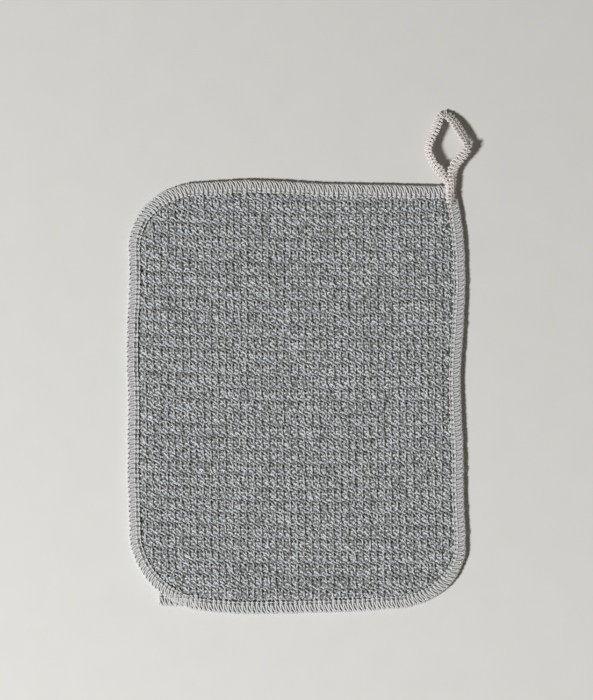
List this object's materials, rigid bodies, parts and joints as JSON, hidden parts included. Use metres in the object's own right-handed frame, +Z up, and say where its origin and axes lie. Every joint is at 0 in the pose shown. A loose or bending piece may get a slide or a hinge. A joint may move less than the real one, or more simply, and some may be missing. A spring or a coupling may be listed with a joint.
{
  "type": "knitted face cloth",
  "caption": "Flat knitted face cloth in marled grey yarn with cross ridges, three rounded corners, a light overlocked edge and a tape hanging loop on its square corner.",
  "frame": {"origin": "on the surface the cloth lies on, under the middle of the whole cloth's box, loop included", "axes": "+X across the cloth towards the side with the loop, +Y along the cloth towards the loop, +Z up"},
  "size_m": [0.1726, 0.2512, 0.0057],
  "materials": {
    "knit_yarn": "matte marled knit",
    "seam_thread": "matte overlock thread",
    "tape_thread": "matte overlock thread"
  },
  "bodies": {
    "root": {"knit_panel": "knit_yarn", "overlock_seam": "seam_thread", "hanging_loop": "tape_thread"}
  },
  "joints": []
}
